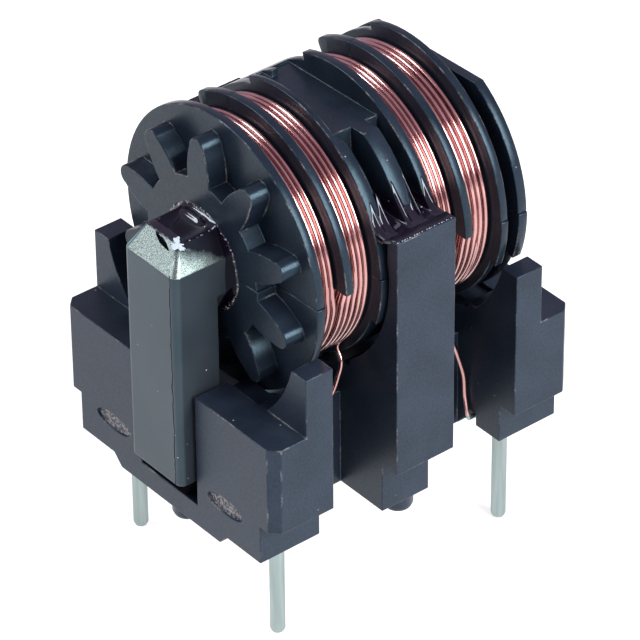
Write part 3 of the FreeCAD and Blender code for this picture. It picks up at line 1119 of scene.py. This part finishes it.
# %% Define a sheet of glue
drops = random.Random(21)
rim_waves = [(drops.uniform(0.3, 1.0), waves, drops.uniform(0, 6.28)) for waves in (5, 9, 14, 23, 37)]


def ragged(value, size):
    total = 0.0
    for share, waves, start in rim_waves:
        total += share * math.sin(waves * value + start) / (1 + 0.05 * waves)
    return size * total / 2


def hill(value, place, width):
    return math.exp(-((value - place) / width) ** 2)


def add_sheet(form, pairs, wrap):
    nets = [[[form.verts.new(pair[side] * 0.001) for pair in row] for row in pairs] for side in (0, 1)]
    rows = len(pairs)
    columns = len(pairs[0])
    last = rows if wrap else rows - 1
    for net in nets:
        for i in range(last):
            for j in range(columns - 1):
                after = net[(i + 1) % rows]
                form.faces.new((net[i][j], after[j], after[j + 1], net[i][j + 1]))
    ahead, behind = nets
    for i in range(last):
        k = (i + 1) % rows
        for j in (0, columns - 1):
            form.faces.new((ahead[i][j], ahead[k][j], behind[k][j], behind[i][j]))
    if not wrap:
        for i in (0, rows - 1):
            for j in range(columns - 1):
                form.faces.new((ahead[i][j], ahead[i][j + 1], behind[i][j + 1], behind[i][j]))


print("a rim has waves of", [waves for share, waves, start in rim_waves])

# %% [markdown]
# Round the ring, where it enters and leaves the spool, the glue is a thin collar on the
# spool's face. It is thickest at the ring, and its outer rim is ragged.

# %% Draw the collars
collar_steps = 240
collar_rings = 12
collar_hole = 1.2
collar_rim = 2.54
collar_front = 6.395
collar_back = 6.30


def collar(end_sign):
    pairs = []
    for i in range(collar_steps):
        angle = math.tau * i / collar_steps
        rim = collar_rim + ragged(angle, 0.10)
        row = []
        for j in range(collar_rings + 1):
            share = j / collar_rings
            radius = between(collar_hole, rim, share)
            swell = 0.30 * (1 - share) ** 2 + 0.05 * (1 - share ** 8) + ragged(angle + share, 0.008)
            front = on_spool(end_sign * (collar_front + swell), radius, angle)
            row.append((front, on_spool(end_sign * collar_back, radius, angle)))
        pairs.append(row)
    return pairs, True


print("collars out to", collar_rim, "mm")

# %% [markdown]
# On the ring's top lies a film from its front edge to the spool. It climbs at the spool, and
# a short ridge crosses it just before.

# %% Draw the film on the ring's top
cap_steps = 40
cap_toe = -8.47
cap_heel = -6.36
cap_half = 1.13
cap_depth = 0.10
cap_climb = 0.28
ridge_height, ridge_x, ridge_width = 0.135, -6.78, 0.17


def cap():
    pairs = []
    for i in range(cap_steps + 1):
        across = -1 + 2 * i / cap_steps
        row = []
        toe = cap_toe + ragged(2 * across, 0.02)
        for j in range(cap_steps + 1):
            share = j / cap_steps
            x = between(toe, cap_heel, share)
            y = across * (cap_half + ragged(1.3 * x, 0.02))
            climb = cap_climb * share ** 9 * (1 + 0.25 * math.sin(2.2 * y + 0.5))
            sides = max(0.0, 1 - ((y - 0.08) / 0.78) ** 4)
            climb += ridge_height * hill(x, ridge_x, ridge_width) * sides
            film = 0.07 * (1 - across ** 6) * min(1.0, 6 * share)
            swell = 0.012 * math.sin(2.6 * x + 1.2 * y)
            row.append((
                Vector((x, y, ring_high + climb + film + swell)),
                Vector((x, y, ring_high - cap_depth)),
            ))
        pairs.append(row)
    return pairs, False


print("film from", cap_toe, "to", cap_heel, "mm")

# %% [markdown]
# At the ring's front corner sit two small drops: a round splash, painted pale as a highlight,
# and a leaf, most of which is painted near black and without sheen as shade. Masks mark
# these, and the rims, where crumbs stick.

# %% Draw the drops and their masks
blot_steps = 48
blot_rings = 6
blot_centre = 0.03
splash_place = Vector((-8.45, -1.08, 15.5))
splash_size = 0.36
leaf_place = Vector((-8.60, -0.15, 15.285))
leaf_reach = 0.75
leaf_up = Vector((0.56, 0, 0.83))
leaf_edge = 0.16
rim_band = (6.38, 6.50)
rim_reach = 2.40


def blot(centre, normal, along, half_size, point):
    upright = Vector(normal).normalized()
    length = (Vector(along) - upright * upright.dot(Vector(along))).normalized()
    width = upright.cross(length)
    pairs = []
    for i in range(blot_steps):
        angle = math.tau * i / blot_steps
        lobes = (1 - point) * (0.28 * math.sin(3 * angle + 1) + 0.16 * math.sin(7 * angle))
        narrow = math.sin(angle) * abs(math.sin(angle)) ** point
        row = []
        for j in range(blot_rings + 1):
            share = blot_centre + (1 - blot_centre) * j / blot_rings
            reach = share * (1 + lobes)
            offset = length * math.cos(angle) * half_size[0] * reach + width * narrow * half_size[1] * reach
            row.append((
                centre + offset + upright * 0.05 * (1 - share ** 2),
                centre + offset - upright * 0.12,
            ))
        pairs.append(row)
    return pairs, True


# The splash's faces get the painted highlight.
def splash_painted_highlight(face):
    away = face.calc_center_median() * 1000 - splash_place
    return away.length < splash_size and face.normal.x < -0.2


# Most of the leaf's front gets painted shade.
def leaf_painted_shade(face):
    away = face.calc_center_median() * 1000 - leaf_place
    return away.length < leaf_reach and face.normal.x < -0.5 and away.dot(leaf_up) < leaf_edge


def on_rim(face):
    place = face.calc_center_median() * 1000
    reach = math.hypot(place.y, place.z - axis_height)
    climbed = reach > rim_reach and place.z < ring_high - 0.1 or place.z > ring_high + 0.25
    return rim_band[0] < abs(place.x) < rim_band[1] and climbed


splash = blot(splash_place, (-0.5, -0.45, 0.74), (0.2, -1.0, -0.4), (0.34, 0.24), 0.0)
leaf = blot(leaf_place, (-0.83, 0, 0.56), (-0.22, -1.22, -0.33), (0.66, 0.14), 0.8)
print("drops with", len(splash[0]), "rows each")

# %% [markdown]
# Between each post and the spool's middle the glue hangs in a hollow curve. On the right it
# climbed the edges of the walls and the rib in five ridges. On the left it is one low swell.

# %% Draw the beads between the posts and the spool
right_swells = [
    (-1.62, 0.12, 7.0), (-1.20, 0.12, 9.0), (-0.25, 0.14, 11.0), (0.42, 0.06, 13.0), (1.27, 0.13, 8.0),
]
right_ribs = [(-1.90, -1.14), (-0.36, 0.49), (1.08, 1.50)]
left_swells = [(-1.20, 0.45, 2.0), (-0.10, 0.40, 4.0), (0.80, 0.50, 3.0)]
left_ribs = [(-1.90, 1.50)]
spool_span = (-1.84, 1.46)
post_span = (-1.60, 1.56)
post_in_y = 6.75
post_out_y = 7.40
post_film = 0.04
film_part = 0.25
bead_steps = 140
bead_columns = 42
bead_degrees = 26
valley_radius = 5.15
valley_degrees = 36.0
rib_blend = 0.20
back_limit = 6.7


def bent(start, middle, end, t):
    return start * (1 - t) ** 2 + middle * 2 * t * (1 - t) + end * t * t


def rise_to(radius, degrees, start, t):
    angle = math.radians(degrees)
    contact = Vector((math.cos(angle), math.sin(angle))) * radius
    contact.y += axis_height
    fall = (contact.y - start.y - 0.04) / math.cos(angle)
    middle = contact + Vector((math.sin(angle), -math.cos(angle))) * fall
    return bent(start, middle, contact, t)


def bead(side_sign, top_height, rib_radius, ribs, swells):
    pairs = []
    start = Vector((post_in_y + 0.10, top_height + 0.03))
    run = start.x - post_out_y + post_film
    for i in range(bead_steps + 1):
        along = i / bead_steps
        spool_x = between(*spool_span, along)
        post_x = between(*post_span, along)
        gap = min(max(low - spool_x, spool_x - high, 0.0) for low, high in ribs)
        on_rib = ease(1 - gap / rib_blend)
        top = bead_degrees + sum(rise * hill(spool_x, place, width) for place, width, rise in swells)
        row = []
        for j in range(bead_columns):
            share = j / (bead_columns - 1)
            if share < film_part:
                film = share / film_part
                x = between(post_x, spool_x, film ** 4)
                y = post_out_y - post_film + run * film + ragged(2 * x, 0.02) * (1 - film)
                z = top_height + 0.03
                inside = Vector((x, side_sign * y, z - 0.2))
            else:
                x = spool_x
                t = (share - film_part) / (1 - film_part)
                valley = rise_to(valley_radius, valley_degrees, start, t)
                y, z = valley.lerp(rise_to(rib_radius, top, start, t), on_rib)
                inside = Vector((x, side_sign * min(y, back_limit), z - 0.9 * t - 0.2))
            row.append((Vector((x, side_sign * y, z)), inside))
        pairs.append(row)
    return pairs, False


print("five ridges:", [place for place, width, rise in right_swells])

# %% [markdown]
# Each piece of glue is one form, made of its sheets, with its masks written on its faces.

# %% Pour the glue


def pour(name, node_name, *sheets):
    form = bmesh.new()
    for pairs, wrap in sheets:
        add_sheet(form, pairs, wrap)
    turn_outward(form)
    mark_faces(form, "splash_painted_highlight", splash_painted_highlight)
    mark_faces(form, "rim", on_rim)
    mark_faces(form, "leaf_painted_shade", leaf_painted_shade)
    piece = finished(name, form, glue, [node_name])
    print(name, "faces", len(piece.data.polygons))


pour("front_glue", "adhesive_front", collar(-1), cap(), splash, leaf)
pour("rear_glue", "adhesive_rear", collar(1))
pour("right_glue", "adhesive_right", bead(-1, 15.84, 6.68, right_ribs, right_swells))
pour("left_glue", "adhesive_left", bead(1, 15.64, 6.33, left_ribs, left_swells))

# %% [markdown]
# ## Pins and solder
# The pins and the solder are right as solids, and only their finish is new.

# %% Finish the pins and the solder
plain_finishes = {"pin": tinned, "solder": solder_metal}
for node_name, node in cad_nodes.items():
    kind = node_name.split("_")[0]
    if kind in plain_finishes:
        node.data.materials.clear()
        node.data.materials.append(plain_finishes[kind])
        print(node_name, "finished")
